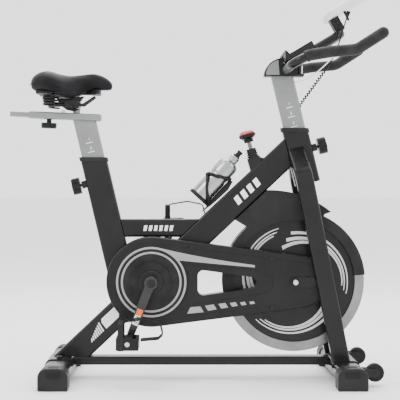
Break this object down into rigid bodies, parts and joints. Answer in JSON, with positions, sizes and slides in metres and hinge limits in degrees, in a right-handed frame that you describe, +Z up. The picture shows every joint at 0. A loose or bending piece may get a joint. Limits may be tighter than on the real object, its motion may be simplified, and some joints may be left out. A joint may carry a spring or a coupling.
{
  "type": "indoor spin bike",
  "caption": "Indoor spin bike with a belt-driven flywheel, toe-clip pedals, sliding saddle, aero handlebar, friction brake and drinking bottle.",
  "frame": {"origin": "on the floor under the middle of the bike's length and width", "axes": "+X towards the front, +Y to the rider's left, +Z up"},
  "size_m": [1.0573, 0.5, 1.123],
  "materials": {
    "black_paint": "gloss black powder coat",
    "cap_plastic": "satin moulded black",
    "black_hardware": "black oxide",
    "bright_steel": "zinc plated",
    "guard_plastic": "gloss moulded black",
    "silver_trim": "silver foil",
    "rubber_black": "matt",
    "belt_rubber": "ribbed",
    "chrome_rim": "polished",
    "pulley_metal": "cast",
    "crank_steel": "satin black",
    "dust_grey": "satin dark grey",
    "pedal_resin": "moulded",
    "silver_paint": "satin silver",
    "knob_plastic": "moulded",
    "saddle_vinyl": "black vinyl",
    "saddle_shell": "moulded",
    "grip_foam": "closed-cell foam",
    "shelf_plastic": "moulded",
    "console_plastic": "pale silver",
    "cable_jacket": "PVC",
    "brake_steel": "plated",
    "brake_knob_red": "black body with a red cap",
    "bottle_metal": "satin"
  },
  "bodies": {
    "frame": {"main_tube": "black_paint", "seat_tube": "black_paint", "cross_tube": "black_paint", "head_tube": "black_paint", "fork_legs": "black_paint", "base_tube": "black_paint", "rear_stabilizer": "black_paint", "front_stabilizer": "black_paint", "stabilizer_caps": "cap_plastic", "frame_bolts": "black_hardware", "steel_fasteners": "black_hardware", "bottom_bracket_shell": "black_paint", "bearings": "bright_steel", "tube_collars": "cap_plastic", "guard_outer": "guard_plastic", "guard_inner": "guard_plastic", "guard_trim": "silver_trim", "flywheel_axle": "bright_steel", "flywheel_shroud": "cap_plastic", "brake_boot": "rubber_black", "bottle_cage": "cap_plastic", "drive_belt": "belt_rubber"},
    "flywheel": {"flywheel_rim": "chrome_rim", "flywheel_web": "black_paint", "flywheel_pulley": "pulley_metal"},
    "crankset": {"crank_spindle": "bright_steel", "crank_pulley": "pulley_metal", "crank_arm_right": "crank_steel", "crank_arm_left": "crank_steel", "dust_cover": "dust_grey", "pedal_spindles": "bright_steel"},
    "right_pedal": {"pedal_right": "pedal_resin", "toe_clip_right": "pedal_resin"},
    "left_pedal": {"pedal_left": "pedal_resin", "toe_clip_left": "pedal_resin"},
    "seat_stem": {"seat_post": "silver_paint"},
    "sleeve_clamp_knob": {"sleeve_knob": "knob_plastic"},
    "saddle": {"saddle_slider": "silver_paint", "saddle_clamp": "black_hardware", "saddle_rails": "black_hardware", "saddle_springs": "black_hardware", "saddle_base": "saddle_shell", "saddle_pad": "saddle_vinyl"},
    "bar_stem": {"handlebar_post": "silver_paint", "handlebar": "black_paint", "handlebar_grips": "grip_foam", "aero_loop": "black_paint", "media_shelf": "shelf_plastic", "bar_clamps": "shelf_plastic", "console": "console_plastic", "sensor_cable": "cable_jacket", "console_lead": "cable_jacket", "cable_fittings": "cable_jacket"},
    "seat_pin_knob": {"seat_knob": "knob_plastic"},
    "head_pin_knob": {"head_knob": "knob_plastic"},
    "brake_rod_unit": {"brake_plunger": "brake_steel"},
    "brake_knob_unit": {"brake_knob": "brake_knob_red"},
    "right_transport_wheel": {"transport_wheel_right": "rubber_black"},
    "left_transport_wheel": {"transport_wheel_left": "rubber_black"},
    "drinking_bottle": {"bottle": "bottle_metal"}
  },
  "joints": [
    {"name": "flywheel_spin", "type": "hinge", "parent": "frame", "child": "flywheel", "pos_m": [0.288, 0, 0.28], "axis": [0, 1, 0], "continuous": true},
    {"name": "crank_spin", "type": "hinge", "parent": "frame", "child": "crankset", "pos_m": [-0.121, 0, 0.28], "axis": [0, 1, 0], "continuous": true},
    {"name": "right_pedal_spin", "type": "hinge", "parent": "crankset", "child": "right_pedal", "pos_m": [-0.18339, -0.17, 0.1219], "axis": [0, 1, 0], "continuous": true},
    {"name": "left_pedal_spin", "type": "hinge", "parent": "crankset", "child": "left_pedal", "pos_m": [-0.05861, 0.17, 0.4381], "axis": [0, 1, 0], "continuous": true},
    {"name": "seat_height", "type": "slide", "parent": "frame", "child": "seat_stem", "axis": [-0.23, 0, 0.9732], "range_m": [-0.09, 0.1]},
    {"name": "sleeve_knob_turn", "type": "hinge", "parent": "seat_stem", "child": "sleeve_clamp_knob", "pos_m": [-0.418, 0, 0.75607], "axis": [-0.0436, 0, -0.999], "range_deg": [0, 270]},
    {"name": "saddle_fore_aft", "type": "slide", "parent": "seat_stem", "child": "saddle", "axis": [0.999, 0, -0.0436], "range_m": [-0.05, 0.05]},
    {"name": "handlebar_height", "type": "slide", "parent": "frame", "child": "bar_stem", "axis": [-0.2334, 0, 0.9724], "range_m": [-0.04, 0.05]},
    {"name": "seat_pin_pull", "type": "slide", "parent": "frame", "child": "seat_pin_knob", "axis": [-0.9732, 0, -0.23], "range_m": [0, 0.008], "stiffness_N_per_m": 900, "springref_m": -0.006},
    {"name": "head_pin_pull", "type": "slide", "parent": "frame", "child": "head_pin_knob", "axis": [0.9724, 0, 0.2334], "range_m": [0, 0.008], "stiffness_N_per_m": 900, "springref_m": -0.006},
    {"name": "brake_press", "type": "slide", "parent": "frame", "child": "brake_rod_unit", "axis": [0.2706, 0, -0.9627], "range_m": [0, 0.005], "stiffness_N_per_m": 2500, "springref_m": -0.004},
    {"name": "brake_knob_turn", "type": "hinge", "parent": "brake_rod_unit", "child": "brake_knob_unit", "pos_m": [0.15772, 0, 0.69041], "axis": [-0.2706, 0, 0.9627], "range_deg": [0, 720]},
    {"name": "right_wheel_roll", "type": "hinge", "parent": "frame", "child": "right_transport_wheel", "pos_m": [0.4987, -0.159, 0.0378], "axis": [0, 1, 0], "continuous": true},
    {"name": "left_wheel_roll", "type": "hinge", "parent": "frame", "child": "left_transport_wheel", "pos_m": [0.4987, 0.159, 0.0378], "axis": [0, 1, 0], "continuous": true},
    {"name": "bottle_lift", "type": "slide", "parent": "frame", "child": "drinking_bottle", "axis": [-0.6855, 0, 0.7281], "range_m": [0, 0.12]}
  ],
  "couplings": [
    {"joint": "crank_spin", "follows": "flywheel_spin", "ratio": 0.31111}
  ]
}
